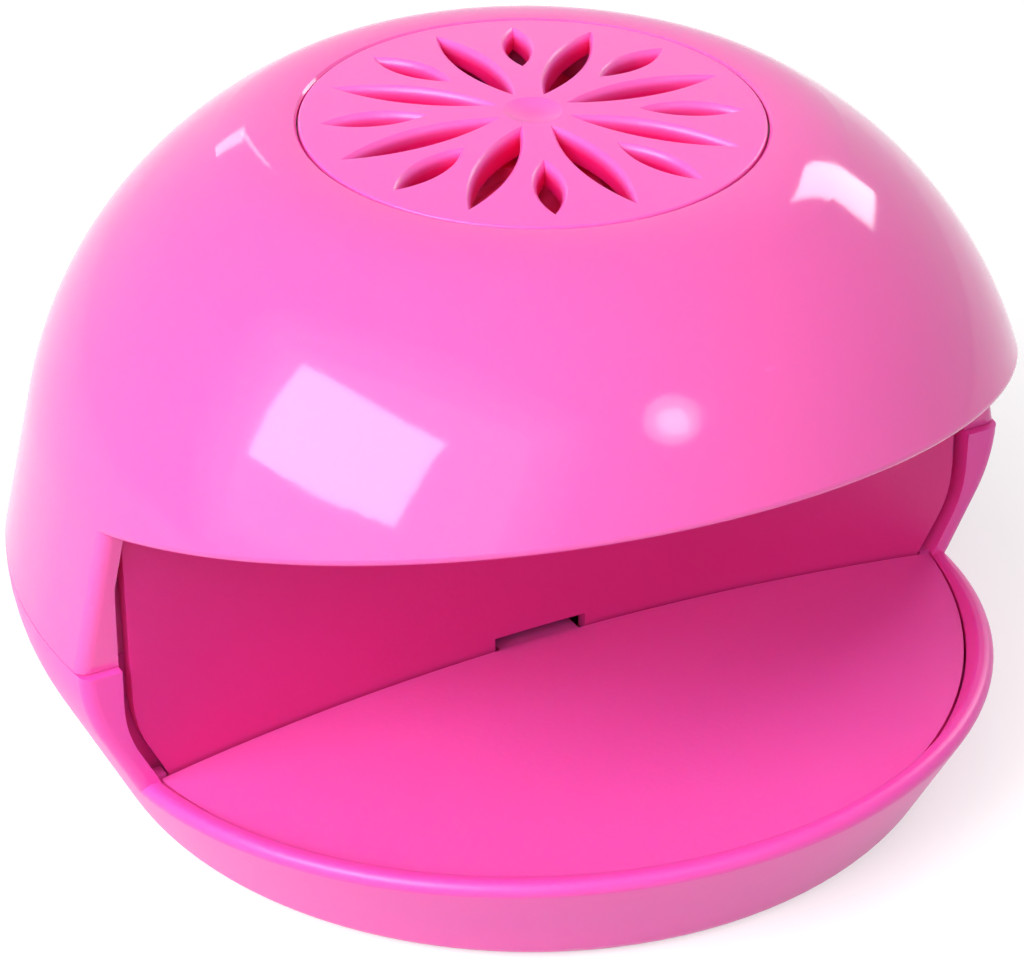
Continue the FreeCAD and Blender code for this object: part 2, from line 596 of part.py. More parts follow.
def base_shell():
    outer = join([tray_form(), base_rear()])
    ends = base_rear().common(jambs(JAMB_Y))
    top = PARTING_HEIGHT - PARTING_GAP
    inside = [battery_box_block(), *switch_cradle()]
    inside += [cylinder(GUIDE_POST_RADIUS, 0, GUIDE_POST_TOP, x, y) for x, y in GUIDE_POINTS]
    for x, y in CASE_SCREW_POINTS:
        inside.append(cylinder(CASE_BOSS_RADIUS, 0, top, x, y))
        inside.append(boss_rib(x, y, PARTING_RADIUS, 0, top))
    inside.append(cylinder(BOSS_RADIUS, 0, BOX_TOP, DOOR_SCREW_X, DOOR_MIDDLE_Y))
    inside.append(cylinder(DOOR_EAR_RADIUS + DOOR_GAP + DOOR_EAR_PAD, 0, DOOR_THICKNESS + DOOR_EAR_PAD,
                           DOOR_SCREW_X, DOOR_MIDDLE_Y))
    shell = join([base_wall(), ends, join(inside).common(outer)])
    pocket = cylinder(POCKET_RADIUS, PLATE_STOP_HEIGHT, RIM_HEIGHT)
    shell = shell.cut(pocket.common(in_front_of_back_wall(0, 0, FAR)))
    shell = shell.cut(block((-FAR, -FAR, top), (FAR, FAR, FAR)))
    shell = shell.cut(cell_space()).cut(door_outline(DOOR_GAP, DOOR_THICKNESS))
    for x, y in CASE_SCREW_POINTS:
        shell = shell.cut(screw_sink(CASE_SCREW_SEAT, x, y))
        shell = shell.cut(cylinder(SCREW_RADIUS + SCREW_HOLE_CLEARANCE, 0, FAR, x, y))
    for x, y in GUIDE_POINTS:
        shell = shell.cut(cylinder(PLATE_SCREW_SINK_RADIUS, -SLIVER, GUIDE_SHOULDER_HEIGHT, x, y))
        shell = shell.cut(cylinder(GUIDE_BORE_RADIUS, 0, FAR, x, y))
    return shell.cut(cylinder(SCREW_RADIUS + SCREW_HOLE_CLEARANCE, 0, BOX_INNER_TOP,
                              DOOR_SCREW_X, DOOR_MIDDLE_Y))


def screw_sink(seat, x, y):
    return cylinder(SCREW_HEAD_RADIUS + SCREW_HEAD_CLEARANCE, -SLIVER, seat, x, y)


def battery_box_block():
    half_length = BOX_HALF_LENGTH + BOX_WALL
    return block((-half_length, BOX_FRONT_Y, 0), (half_length, BOX_INNER_BACK + BOX_WALL, BOX_TOP))


def cell_space():
    """Room for both cells and their contacts, open through the door's hole."""
    low = (-BOX_HALF_LENGTH, BOX_INNER_FRONT, DOOR_THICKNESS)
    high = (BOX_HALF_LENGTH, BOX_INNER_BACK, BOX_INNER_TOP)
    room = rounded_block(low, high, DOOR_CORNER_RADIUS / 3)
    slots = [contact_tab_slot(CELL_1_Y), contact_tab_slot(CELL_2_Y)]
    return join([room, *slots]).common(bowl_solid(WALL / 2))


def contact_tab_slot(y):
    half = CONTACT_TAB_WIDTH / 2 + DOOR_GAP
    return block((BOX_HALF_LENGTH - CONTACT_THICKNESS - DOOR_GAP, y - half, CELL_BOTTOM),
                 (BOX_HALF_LENGTH, y + half, BOX_TOP + SLIVER))


def door_outline(gap, top):
    """Battery door's plate with its screw ear, grown by gap."""
    half_length = BOX_HALF_LENGTH + DOOR_LEDGE - DOOR_GAP + gap
    low = (-half_length, BOX_INNER_FRONT + DOOR_GAP - gap, 0)
    high = (half_length, BOX_INNER_BACK - DOOR_GAP + gap, top)
    plate = rounded_block(low, high, DOOR_CORNER_RADIUS)
    ear = cylinder(DOOR_EAR_RADIUS + gap, 0, top, DOOR_SCREW_X, DOOR_MIDDLE_Y)
    neck = block((0, DOOR_MIDDLE_Y - DOOR_EAR_RADIUS - gap, 0),
                 (DOOR_SCREW_X, DOOR_MIDDLE_Y + DOOR_EAR_RADIUS + gap, top))
    return join([plate, ear, neck])


def battery_door():
    door = door_outline(0, DOOR_THICKNESS)
    door = door.cut(screw_sink(DOOR_SCREW_SEAT, DOOR_SCREW_X, DOOR_MIDDLE_Y))
    door = door.cut(cylinder(SCREW_RADIUS + SCREW_HOLE_CLEARANCE, 0, FAR, DOOR_SCREW_X, DOOR_MIDDLE_Y))
    first = -BOX_HALF_LENGTH / 2
    for index in range(DOOR_GRIP_COUNT):
        x = first + index * DOOR_GRIP_PITCH
        door = door.cut(block((x, DOOR_MIDDLE_Y - DOOR_GRIP_LENGTH / 2, -SLIVER),
                              (x + DOOR_GRIP_WIDTH, DOOR_MIDDLE_Y + DOOR_GRIP_LENGTH / 2, DOOR_GRIP_DEPTH)))
    return door


def door_screw():
    head_height = DOOR_SCREW_SEAT - DOOR_SCREW_SINK
    return screw(SCREW_RADIUS, SCREW_HEAD_RADIUS, head_height, SCREW_LENGTH, DOOR_SCREW_SEAT,
                 DOOR_SCREW_X, DOOR_MIDDLE_Y)


def switch_cradle():
    """Two low walls on the floor that hold the switch at its ends."""
    walls = []
    for side in (-1, 1):
        inner = side * (SWITCH_WIDTH / 2 + SWITCH_FIT)
        outer = side * (SWITCH_WIDTH / 2 + SWITCH_FIT + SWITCH_CRADLE_THICKNESS)
        walls.append(block((min(inner, outer), SWITCH_CENTRE_Y - SWITCH_DEPTH / 2, 0),
                           (max(inner, outer), BOX_FRONT_Y, FLOOR_THICKNESS + SWITCH_CRADLE_HEIGHT)))
    return walls


# ---------------------------------------------------------------- slot fittings
def back_wall():
    """Curved panel behind the press plate, standing on the floor up to the outlet panel."""
    slab = in_front_of_back_wall(-BACK_WALL_THICKNESS, FLOOR_THICKNESS, CROWN_HEIGHT)
    slab = slab.cut(in_front_of_back_wall(0, 0, FAR))
    slab = slab.common(below_hood(PANEL_RECESS, -PARTING_RADIUS, PARTING_RADIUS, 0))
    slab = slab.common(slot_side_walls(BACK_WALL_SIDE_GAP, BACK_WALL_SIDE_GAP))
    slab = slab.common(join([bowl_solid(WALL + PANEL_SIDE_CLEARANCE), dome_solid(WALL)]))
    notch = block((-NOTCH_WIDTH / 2, -PARTING_RADIUS, NOTCH_BOTTOM),
                  (NOTCH_WIDTH / 2, PARTING_RADIUS, NOTCH_TOP))
    return slab.cut(notch)


def panel_screw_seat(x, y):
    """Height of the outlet panel's underside at a point."""
    return hood_height(y) + PANEL_RECESS / math.cos(math.radians(HOOD_TILT_ANGLE))


def outlet_panel():
    """Slotted ceiling of the finger slot, parallel to the hood's edge."""
    top = below_hood(PANEL_RECESS + PANEL_THICKNESS, -PARTING_RADIUS, PARTING_RADIUS, PARTING_HEIGHT)
    panel = top.cut(below_hood(PANEL_RECESS, -FAR, FAR, -FAR))
    panel = panel.common(dome_solid(WALL + PANEL_SIDE_CLEARANCE))
    rear = in_front_of_back_wall(-BACK_WALL_THICKNESS, PARTING_HEIGHT, CROWN_HEIGHT)
    panel = panel.common(rear)
    for row in range(PANEL_SLOT_ROWS):
        y = PANEL_SLOT_FIRST_Y - row * PANEL_SLOT_PITCH
        slot = rounded_block((-PANEL_SLOT_HALF_LENGTH, y - PANEL_SLOT_WIDTH / 2, PARTING_HEIGHT),
                             (PANEL_SLOT_HALF_LENGTH, y + PANEL_SLOT_WIDTH / 2, CROWN_HEIGHT),
                             PANEL_SLOT_WIDTH / 2 - SLIVER)
        bridge = block((-PANEL_THICKNESS / 2, y - PANEL_SLOT_WIDTH, 0),
                       (PANEL_THICKNESS / 2, y + PANEL_SLOT_WIDTH, FAR))
        panel = panel.cut(slot.cut(bridge))
    for x, y in PANEL_SCREW_POINTS:
        panel = panel.cut(cylinder(SCREW_RADIUS + SCREW_HOLE_CLEARANCE, 0, FAR, x, y))
        panel = panel.cut(screw_sink(panel_screw_seat(x, y), x, y))
    return panel


def press_plate():
    outline = cylinder(PLATE_RADIUS, PLATE_UNDERSIDE, PLATE_TOP)
    plate = outline.common(in_front_of_back_wall(BACK_WALL_PLATE_GAP, 0, FAR))
    rib_outer = PLATE_RADIUS - PLATE_RIB_INSET
    rib = ring(rib_outer, rib_outer - PLATE_RIB_THICKNESS,
               PLATE_UNDERSIDE - PLATE_RIB_DEPTH, PLATE_UNDERSIDE)
    rib = rib.common(in_front_of_back_wall(PLATE_RIB_INSET, 0, FAR))
    parts = [plate, rib]
    parts.append(block((-TAB_WIDTH / 2, BACK_WALL_Y - PLATE_RIB_INSET, TAB_BOTTOM),
                       (TAB_WIDTH / 2, TAB_END_Y, TAB_TOP)))
    for x, y in GUIDE_POINTS:
        parts.append(cylinder(GUIDE_PIN_RADIUS, GUIDE_SHOULDER_HEIGHT, PLATE_UNDERSIDE, x, y))
    plate = join(parts)
    for x, y in GUIDE_POINTS:
        plate = plate.cut(cylinder(PLATE_SCREW_RADIUS, 0, GUIDE_SHOULDER_HEIGHT + PLATE_SCREW_LENGTH, x, y))
    return plate


def plate_screws():
    return group([screw(PLATE_SCREW_RADIUS, PLATE_SCREW_HEAD_RADIUS, PLATE_SCREW_HEAD_HEIGHT,
                        PLATE_SCREW_LENGTH, GUIDE_SHOULDER_HEIGHT, x, y) for x, y in GUIDE_POINTS])


def plate_springs():
    springs = []
    for x, y in GUIDE_POINTS:
        spring = coil(SPRING_COIL_RADIUS, SPRING_WIRE_RADIUS, SPRING_TURNS,
                      FLOOR_THICKNESS, PLATE_UNDERSIDE)
        spring.translate(vec(x, y, 0))
        springs.append(spring)
    return group(springs)


# ---------------------------------------------------------------- vent grille
def petal(start, end, width, angle):
    """Lens-shaped slot along a radius, square to the crowned top, its upper edges rounded."""
    length = end - start
    radius = (length ** 2 / 4 + (width / 2) ** 2) / width
    middle = (start + end) / 2
    surface = CROWN_HEIGHT + GRILLE_CROWN * (1 - (middle / GRILLE_RADIUS) ** 2)
    lean = math.degrees(math.atan(2 * GRILLE_CROWN * middle / GRILLE_RADIUS ** 2))
    top = surface + PETAL_EDGE_RISE
    bottom = GRILLE_SEAT_HEIGHT - GRILLE_THICKNESS
    round_centre = (radius + PETAL_EDGE_RADIUS, top - PETAL_EDGE_RADIUS)
    side = revolved([line((0, bottom), (radius, bottom)), line((radius, bottom), (radius, round_centre[1])),
                     arc(round_centre, PETAL_EDGE_RADIUS, 180, 90), line((round_centre[0], top), (0, top)),
                     line((0, top), (0, bottom))])
    near, far = side.copy(), side.copy()
    near.translate(vec(middle, width / 2 - radius, 0))
    far.translate(vec(middle, radius - width / 2, 0))
    slot = near.common(far)
    slot.rotate(vec(middle, 0, surface), vec(0, 1, 0), lean)
    return turned(slot, angle)


def vent_grille():
    """Crowned disc with long and short petals cut through it."""
    sphere_radius = (GRILLE_RADIUS ** 2 + GRILLE_CROWN ** 2) / (2 * GRILLE_CROWN)
    cap = Part.makeSphere(sphere_radius, vec(0, 0, CROWN_HEIGHT + GRILLE_CROWN - sphere_radius))
    disc = cylinder(GRILLE_RADIUS, GRILLE_SEAT_HEIGHT, CROWN_HEIGHT + GRILLE_CROWN).common(cap)
    rim = [edge for edge in disc.Edges if edge.Closed and edge.BoundBox.ZMin > GRILLE_SEAT_HEIGHT + SLIVER]
    disc = disc.makeFillet(GRILLE_EDGE_RADIUS, rim)
    step = 360 / PETAL_COUNT
    for index in range(PETAL_COUNT):
        disc = disc.cut(petal(LONG_PETAL_START, LONG_PETAL_END, LONG_PETAL_WIDTH, index * step))
        disc = disc.cut(petal(SHORT_PETAL_START, SHORT_PETAL_END, SHORT_PETAL_WIDTH, (index + 0.5) * step))
    dish_radius = (DIMPLE_RADIUS ** 2 + DIMPLE_DEPTH ** 2) / (2 * DIMPLE_DEPTH)
    dish = Part.makeSphere(dish_radius, vec(0, 0, CROWN_HEIGHT + GRILLE_CROWN - DIMPLE_DEPTH + dish_radius))
    return disc.cut(dish)


# ---------------------------------------------------------------- fan
def motor_can():
    can = cylinder(MOTOR_RADIUS, MOTOR_BOTTOM + MOTOR_CAP_HEIGHT, MOTOR_TOP)
    boss = cylinder(MOTOR_BOSS_RADIUS, MOTOR_TOP, MOTOR_TOP + MOTOR_BOSS_HEIGHT)
    can = join([can, boss]).cut(cylinder(SHAFT_RADIUS + SHAFT_CLEARANCE, 0, FAR))
    bottom = BRACKET_TOP - SHORT_SCREW_LENGTH
    for side in (-1, 1):
        can = can.cut(cylinder(MOTOR_SCREW_RADIUS, bottom, FAR, side * MOTOR_SCREW_OFFSET))
    return can


def motor_cap():
    cap = cylinder(MOTOR_RADIUS - MOTOR_FIT, MOTOR_BOTTOM, MOTOR_BOTTOM + MOTOR_CAP_HEIGHT)
    return cap.cut(cylinder(SHAFT_RADIUS + SHAFT_CLEARANCE, MOTOR_BOTTOM + MOTOR_CAP_HEIGHT / 2, FAR))


def motor_terminals():
    tabs = []
    for side in (-1, 1):
        x = side * MOTOR_TERMINAL_X
        tabs.append(block((x - TERMINAL_WIDTH / 2, MOTOR_TERMINAL_Y, MOTOR_BOTTOM - TERMINAL_LENGTH),
                          (x + TERMINAL_WIDTH / 2, MOTOR_TERMINAL_Y + TERMINAL_THICKNESS, MOTOR_BOTTOM)))
    return group(tabs)


def motor_shaft():
    return cylinder(SHAFT_RADIUS, MOTOR_BOTTOM + MOTOR_CAP_HEIGHT / 2 + SHAFT_CLEARANCE, SHAFT_TOP)


def motor_screws():
    return group([screw(MOTOR_SCREW_RADIUS, SCREW_HEAD_RADIUS - SCREW_HOLE_CLEARANCE, MOTOR_SCREW_RADIUS,
                        SHORT_SCREW_LENGTH, BRACKET_TOP, side * MOTOR_SCREW_OFFSET, 0, True)
                  for side in (-1, 1)])


def motor_bracket():
    """Spider under the duct: a cup for the motor on three spokes with screw pads."""
    cup_radius = MOTOR_RADIUS + MOTOR_FIT + BRACKET_CUP_WALL
    parts = [cylinder(cup_radius, MOTOR_TOP - BRACKET_CUP_DEPTH, BRACKET_TOP)]
    half_width = BRACKET_SPOKE_WIDTH / 2
    for angle, (x, y) in BRACKET_PADS:
        parts.append(cylinder(BRACKET_PAD_RADIUS, MOTOR_TOP, BRACKET_TOP, x, y))
        spoke = block((0, -half_width, MOTOR_TOP), (BRACKET_PAD_CIRCLE, half_width, BRACKET_TOP))
        parts.append(turned(spoke, angle))
    bracket = join(parts)
    bracket = bracket.cut(cylinder(MOTOR_RADIUS + MOTOR_FIT, 0, MOTOR_TOP))
    bracket = bracket.cut(cylinder(MOTOR_BOSS_RADIUS + MOTOR_FIT, 0, FAR))
    hole_radius = MOTOR_SCREW_RADIUS + SCREW_HOLE_CLEARANCE
    for side in (-1, 1):
        bracket = bracket.cut(cylinder(hole_radius, 0, FAR, side * MOTOR_SCREW_OFFSET))
    for angle, (x, y) in BRACKET_PADS:
        bracket = bracket.cut(cylinder(SCREW_RADIUS + SCREW_HOLE_CLEARANCE, 0, FAR, x, y))
    return bracket


def bracket_screws():
    return group([screw(SCREW_RADIUS, SCREW_HEAD_RADIUS, SCREW_HEAD_HEIGHT, SHORT_SCREW_LENGTH,
                        MOTOR_TOP, x, y) for angle, (x, y) in BRACKET_PADS])


def fan_impeller():
    hub = cylinder(IMPELLER_HUB_RADIUS, IMPELLER_HUB_BOTTOM, IMPELLER_HUB_TOP)
    height = IMPELLER_BLADE_TOP - IMPELLER_BLADE_BOTTOM
    chord = 2 * height / math.sin(math.radians(IMPELLER_BLADE_ANGLE))
    middle = (IMPELLER_BLADE_TOP + IMPELLER_BLADE_BOTTOM) / 2
    blade = block((IMPELLER_HUB_RADIUS / 2, -chord, middle - IMPELLER_BLADE_THICKNESS / 2),
                  (IMPELLER_RADIUS + chord, chord, middle + IMPELLER_BLADE_THICKNESS / 2))
    blade.rotate(vec(0, 0, middle), vec(1, 0, 0), IMPELLER_BLADE_ANGLE)
    room = cylinder(IMPELLER_RADIUS, IMPELLER_BLADE_BOTTOM, IMPELLER_BLADE_TOP)
    blade = blade.common(room)
    step = 360 / IMPELLER_BLADES
    solid = join([hub] + [turned(blade, index * step) for index in range(IMPELLER_BLADES)])
    return solid.cut(cylinder(SHAFT_RADIUS, 0, SHAFT_TOP))


# ---------------------------------------------------------------- batteries
def cell(y, direction):
    """One round cell along X; direction +1 puts its nub towards +X."""
    along = vec(1, 0, 0)
    flat_end = vec(-CELL_ROOM / 2 + CONTACT_SPRING_LENGTH, y, CELL_AXIS_HEIGHT)
    can = Part.makeCylinder(CELL_RADIUS, CELL_LENGTH, flat_end, along)
    nub = Part.makeCylinder(CELL_NUB_RADIUS, CELL_NUB_HEIGHT, flat_end + along * CELL_LENGTH, along)
    solid = join([can, nub])
    if direction < 0:
        solid.rotate(vec(0, y, 0), UP, 180)
    return solid


def contact_plate(y, side, width, tab):
    """Upright contact strip on an end wall of the battery box."""
    outer = side * BOX_HALF_LENGTH
    inner = side * (BOX_HALF_LENGTH - CONTACT_THICKNESS)
    low, high = min(inner, outer), max(inner, outer)
    half = width / 2
    reach = CELL_RADIUS - CELL_CLEARANCE
    strip = block((low, y - half, CELL_AXIS_HEIGHT - reach), (high, y + half, CELL_AXIS_HEIGHT + reach))
    if not tab:
        return strip
    tab_half = CONTACT_TAB_WIDTH / 2
    riser = block((low, y - tab_half, CELL_AXIS_HEIGHT), (high, y + tab_half, BOX_TOP + CONTACT_TAB_RISE))
    return join([strip, riser])


def contact_springs():
    """Coil springs at the flat end of each cell."""
    springs = []
    for y, side in ((CELL_1_Y, -1), (CELL_2_Y, 1)):
        spring = coil(CONTACT_SPRING_RADIUS, CONTACT_SPRING_WIRE, CONTACT_SPRING_TURNS,
                      0, CONTACT_SPRING_LENGTH)
        spring.rotate(vec(0, 0, 0), vec(0, 1, 0), 90 * -side)
        spring.translate(vec(side * CELL_ROOM / 2, y, CELL_AXIS_HEIGHT))
        springs.append(spring)
    return group(springs)


def link_contact():
    middle = (CELL_1_Y + CELL_2_Y) / 2
    return contact_plate(middle, -1, CELL_2_Y - CELL_1_Y + CONTACT_WIDTH, False)


# ---------------------------------------------------------------- switch
def switch_room():
    return cylinder(PLUNGER_FLANGE_RADIUS + PLUNGER_CLEARANCE, FLOOR_THICKNESS + SWITCH_WALL,
                    SWITCH_TOP - SWITCH_WALL, 0, SWITCH_CENTRE_Y)


def switch_body():
    body = block((-SWITCH_WIDTH / 2, SWITCH_CENTRE_Y - SWITCH_DEPTH / 2, FLOOR_THICKNESS),
                 (SWITCH_WIDTH / 2, SWITCH_CENTRE_Y + SWITCH_DEPTH / 2, SWITCH_TOP))
    bore_radius = PLUNGER_RADIUS + PLUNGER_CLEARANCE
    bore = cylinder(bore_radius, FLOOR_THICKNESS + SWITCH_WALL, FAR, 0, SWITCH_CENTRE_Y)
    return body.cut(switch_room()).cut(bore)


def switch_plunger():
    top = TAB_BOTTOM - PLUNGER_TAB_GAP
    bottom = SWITCH_TOP - SWITCH_WALL - PLUNGER_CLEARANCE
    stem = cylinder(PLUNGER_RADIUS, bottom, top, 0, SWITCH_CENTRE_Y)
    flange = cylinder(PLUNGER_FLANGE_RADIUS, bottom - PLUNGER_FLANGE_HEIGHT, bottom, 0, SWITCH_CENTRE_Y)
    return join([stem, flange])


def switch_terminals():
    pins = []
    for side in (-1, 1):
        start = side * SWITCH_WIDTH / 2
        end = side * (SWITCH_WIDTH / 2 + SWITCH_PIN_REACH + WIRE_RADIUS)
        height = FLOOR_THICKNESS + SWITCH_CRADLE_HEIGHT + TERMINAL_THICKNESS / 2
        low = (min(start, end), SWITCH_CENTRE_Y - TERMINAL_WIDTH / 2, height)
        high = (max(start, end), SWITCH_CENTRE_Y + TERMINAL_WIDTH / 2, height + TERMINAL_THICKNESS)
        pins.append(block(low, high))
    return group(pins)


# ---------------------------------------------------------------- wires
def wire_along(points):
    """Round wire along straight runs joined by tangent arcs as large as the runs allow."""
    runs = [vec(*point) for point in points]
    edges = []
    start = runs[0]
    for before, corner, after in zip(runs, runs[1:], runs[2:]):
        into = (corner - before).normalize()
        out = (after - corner).normalize()
        trim = WIRE_BEND_SHARE * min((corner - before).Length, (after - corner).Length)
        arc_start = corner - into * trim
        arc_end = corner + out * trim
        turn = into.getAngle(out)
        radius = trim / math.tan(turn / 2)
        centre_direction = (out - into).normalize()
        middle = corner + centre_direction * (radius / math.cos(turn / 2) - radius)
        edges.append(Part.LineSegment(start, arc_start).toShape())
        edges.append(Part.Arc(arc_start, middle, arc_end).toShape())
        start = arc_end
    edges.append(Part.LineSegment(start, runs[-1]).toShape())
    path = Part.Wire(edges)
    direction = (runs[1] - runs[0]).normalize()
    section = Part.Wire(Part.makeCircle(WIRE_RADIUS, runs[0], direction))
    return path.makePipeShell([section], True, False)


def contact_tab_point(y):
    return (BOX_HALF_LENGTH - CONTACT_THICKNESS / 2, y, BOX_TOP + CONTACT_TAB_RISE)


def motor_terminal_point(side):
    return (side * MOTOR_TERMINAL_X, MOTOR_TERMINAL_Y + TERMINAL_THICKNESS / 2,
            MOTOR_BOTTOM - TERMINAL_LENGTH)


def switch_terminal_point(side):
    height = FLOOR_THICKNESS + SWITCH_CRADLE_HEIGHT + TERMINAL_THICKNESS * 1.5
    return (side * (SWITCH_WIDTH / 2 + SWITCH_PIN_REACH), SWITCH_CENTRE_Y, height)


def routed_wire(start, end, shares):
    """Wire between two ends whose corners are given as shares of the way along X, Y and Z."""
    corners = [tuple(first + (last - first) * share for first, last, share in zip(start, end, corner))
               for corner in shares]
    return wire_along([start, *corners, end])


def red_wire():
    return routed_wire(contact_tab_point(CELL_1_Y), motor_terminal_point(1), RED_WIRE_SHARES)


def black_wire():
    return routed_wire(contact_tab_point(CELL_2_Y), switch_terminal_point(1), BLACK_WIRE_SHARES)


def blue_wire():
    return routed_wire(switch_terminal_point(-1), motor_terminal_point(-1), BLUE_WIRE_SHARES)


# ---------------------------------------------------------------- screws of the case
def case_screws():
    return group([screw(SCREW_RADIUS, SCREW_HEAD_RADIUS, SCREW_HEAD_HEIGHT, CASE_SCREW_LENGTH,
                        CASE_SCREW_SEAT, x, y) for x, y in CASE_SCREW_POINTS])


def panel_screws():
    return group([screw(SCREW_RADIUS, SCREW_HEAD_RADIUS, SCREW_HEAD_HEIGHT, SHORT_SCREW_LENGTH,
                        panel_screw_seat(x, y), x, y) for x, y in PANEL_SCREW_POINTS])


NODES = {
    "upper_shell": upper_shell,
    "base_shell": base_shell,
    "vent_grille": vent_grille,
    "back_wall": back_wall,
    "outlet_panel": outlet_panel,
    "press_plate": press_plate,
    "plate_screws": plate_screws,
    "plate_springs": plate_springs,
    "battery_door": battery_door,
    "door_screw": door_screw,
    "battery_1": lambda: cell(CELL_1_Y, 1),
    "battery_2": lambda: cell(CELL_2_Y, -1),
    "positive_contact": lambda: contact_plate(CELL_1_Y, 1, CONTACT_WIDTH, True),
    "negative_contact": lambda: contact_plate(CELL_2_Y, 1, CONTACT_WIDTH, True),
    "link_contact": link_contact,
    "contact_springs": contact_springs,
    "switch_body": switch_body,
    "switch_plunger": switch_plunger,
    "switch_terminals": switch_terminals,
    "motor_bracket": motor_bracket,
    "motor_can": motor_can,
    "motor_cap": motor_cap,
    "motor_terminals": motor_terminals,
    "motor_shaft": motor_shaft,
    "fan_impeller": fan_impeller,
    "motor_screws": motor_screws,
    "bracket_screws": bracket_screws,
    "panel_screws": panel_screws,
    "case_screws": case_screws,
    "red_wire": red_wire,
    "black_wire": black_wire,
    "blue_wire": blue_wire,
}

os.makedirs("parts", exist_ok=True)
for node, build in NODES.items():
    shape = build()
    shape.exportStep("parts/" + node + ".step")
    print(f"{node:18s} solids {len(shape.Solids)} volume {shape.Volume:9.1f} valid {shape.isValid()}")
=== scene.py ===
"""Looks of the round nail fan dryer: pink shell, press plate, grille, fan, battery bay.

All places are metres in the frame of the CAD model: origin under the middle, +Z up, slot towards
-Y. The sizes of the springs, whose names end in _MM, are millimetres.
"""
import bpy
import math
from mathutils import Matrix, Vector


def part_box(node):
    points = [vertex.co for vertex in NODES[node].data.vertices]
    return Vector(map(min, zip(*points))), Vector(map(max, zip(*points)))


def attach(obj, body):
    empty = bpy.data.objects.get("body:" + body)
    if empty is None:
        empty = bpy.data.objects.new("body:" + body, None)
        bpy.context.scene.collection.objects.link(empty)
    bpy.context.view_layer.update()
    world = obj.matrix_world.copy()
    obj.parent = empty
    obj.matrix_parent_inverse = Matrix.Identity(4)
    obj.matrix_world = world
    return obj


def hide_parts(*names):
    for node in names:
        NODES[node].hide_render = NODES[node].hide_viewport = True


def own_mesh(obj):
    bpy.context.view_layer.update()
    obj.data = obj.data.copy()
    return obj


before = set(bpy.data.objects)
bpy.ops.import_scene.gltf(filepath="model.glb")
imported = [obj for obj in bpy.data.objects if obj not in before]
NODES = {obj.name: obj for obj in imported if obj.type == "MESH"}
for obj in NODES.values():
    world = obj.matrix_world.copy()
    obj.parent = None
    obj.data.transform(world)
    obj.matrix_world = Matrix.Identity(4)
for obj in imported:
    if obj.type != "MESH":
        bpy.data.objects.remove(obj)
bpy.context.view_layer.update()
MM = 0.001

# ------------------------------------------------------------------ camera
CAMERA_PLACE = Vector((-157.736, -288.466, 230.031)) * MM
CAMERA_HEADING = math.radians(28.404)
CAMERA_DROP = math.radians(31.603)
CAMERA_ROLL = math.radians(0.721)
FOCAL_PIXELS = 3653.63
IMAGE_WIDTH = 1024
CENTRE_PIXEL_X = 513.02
SENSOR_WIDTH = 36.0

# ------------------------------------------------------------------ stage
FLOOR_DROP = -0.0002
FLOOR_SIZE = 2.4
FLOOR_GREY = (0.55, 0.55, 0.55, 1.0)
FLOOR_LIFT = 0.58
WHITE = (1.0, 1.0, 1.0, 1.0)
FILL_STRENGTH = 0.02
LAMP_AIM = Vector((0, 0, 0.045))
# name, place, direction of the longer side, width and height, power, seen in the gloss, round
LAMPS = [
    ("softbox_left", (-0.70, -0.16, 0.53), (0.2, -1.0, 0.0), (0.58, 0.38), 5.0, True, False),
    ("glow_front", (0.165, -0.64, 0.705), (1.0, 0.3, 0.0), (0.20, 0.20), 0.36, True, True),
    ("spot_front", (0.16, -0.62, 0.675), (1.0, 0.3, 0.0), (0.11, 0.11), 0.16, True, True),
    ("window_right", (0.729, 0.336, 0.446), (0.59, -0.41, -0.70), (0.33, 0.19), 1.3, True, False),
    ("window_back", (0.004, 0.864, 0.341), (0.767, -0.218, 0.604), (0.16, 0.065), 0.1, True,
     False),
    ("window_edge", (0.072, 0.806, 0.460), (0.036, -0.478, 0.878), (0.20, 0.022), 0.036, True,
     False),
    ("broad_left", (-1.47, -0.59, 0.98), (0.5, -0.9, 0.0), (2.2, 1.6), 7.0, True, False),
    ("broad_left_mid", (-1.50, -0.60, 1.00), (0.5, -0.9, 0.0), (2.8, 2.1), 8.5, True, False),
    ("broad_left_far", (-1.53, -0.61, 1.02), (0.5, -0.9, 0.0), (3.4, 2.6), 10.5, True, False),
    ("broad_high", (-0.8, -0.5, 1.5), (0.5, -0.9, 0.0), (1.3, 1.2), 11.6, False, False),
    ("broad_right", (0.9, -1.3, 0.8), (1.0, 0.5, 0.0), (1.2, 1.0), 5.2, False, False),
    ("broad_back", (1.0, 1.4, 0.5), (1.0, -0.7, 0.0), (1.4, 0.8), 9.0, False, False)]

# ------------------------------------------------------------------ finishes
# moulded plastic: slow drift in colour and roughness, scales in waves per metre
DRIFT_SCALE = 35.0
DRIFT_DETAIL = 2.0
DRIFT_SHADE = 0.96
GRAIN_DETAIL = 2.0
# metal: dull patches and streaks
DULL_SCALE = 160.0
DULL_DETAIL = 3.0
DULL_SHADE = 0.8
STREAK_DETAIL = 4.0
STREAK_DEPTH = 0.000015
EVEN_GRAIN = (900.0, 900.0, 900.0)
DRAWN_GRAIN = (60.0, 60.0, 2400.0)
# the grille: height of its face at the middle, fall of the face for the square of the distance
# from the middle, and the depths between which painted shade turns the walls of its petals deep
# pink
GRILLE_TOP = 0.07089
GRILLE_FALL = 1.645
GRILLE_PAINTED_SHADE_FROM = 0.0004
GRILLE_PAINTED_SHADE_TO = 0.0015
GRILLE_ROUGHNESS = 0.3
GRILLE_SPREAD = 0.06
GRILLE_GRAIN = 1500.0
GRILLE_GRAIN_DEPTH = 0.00001
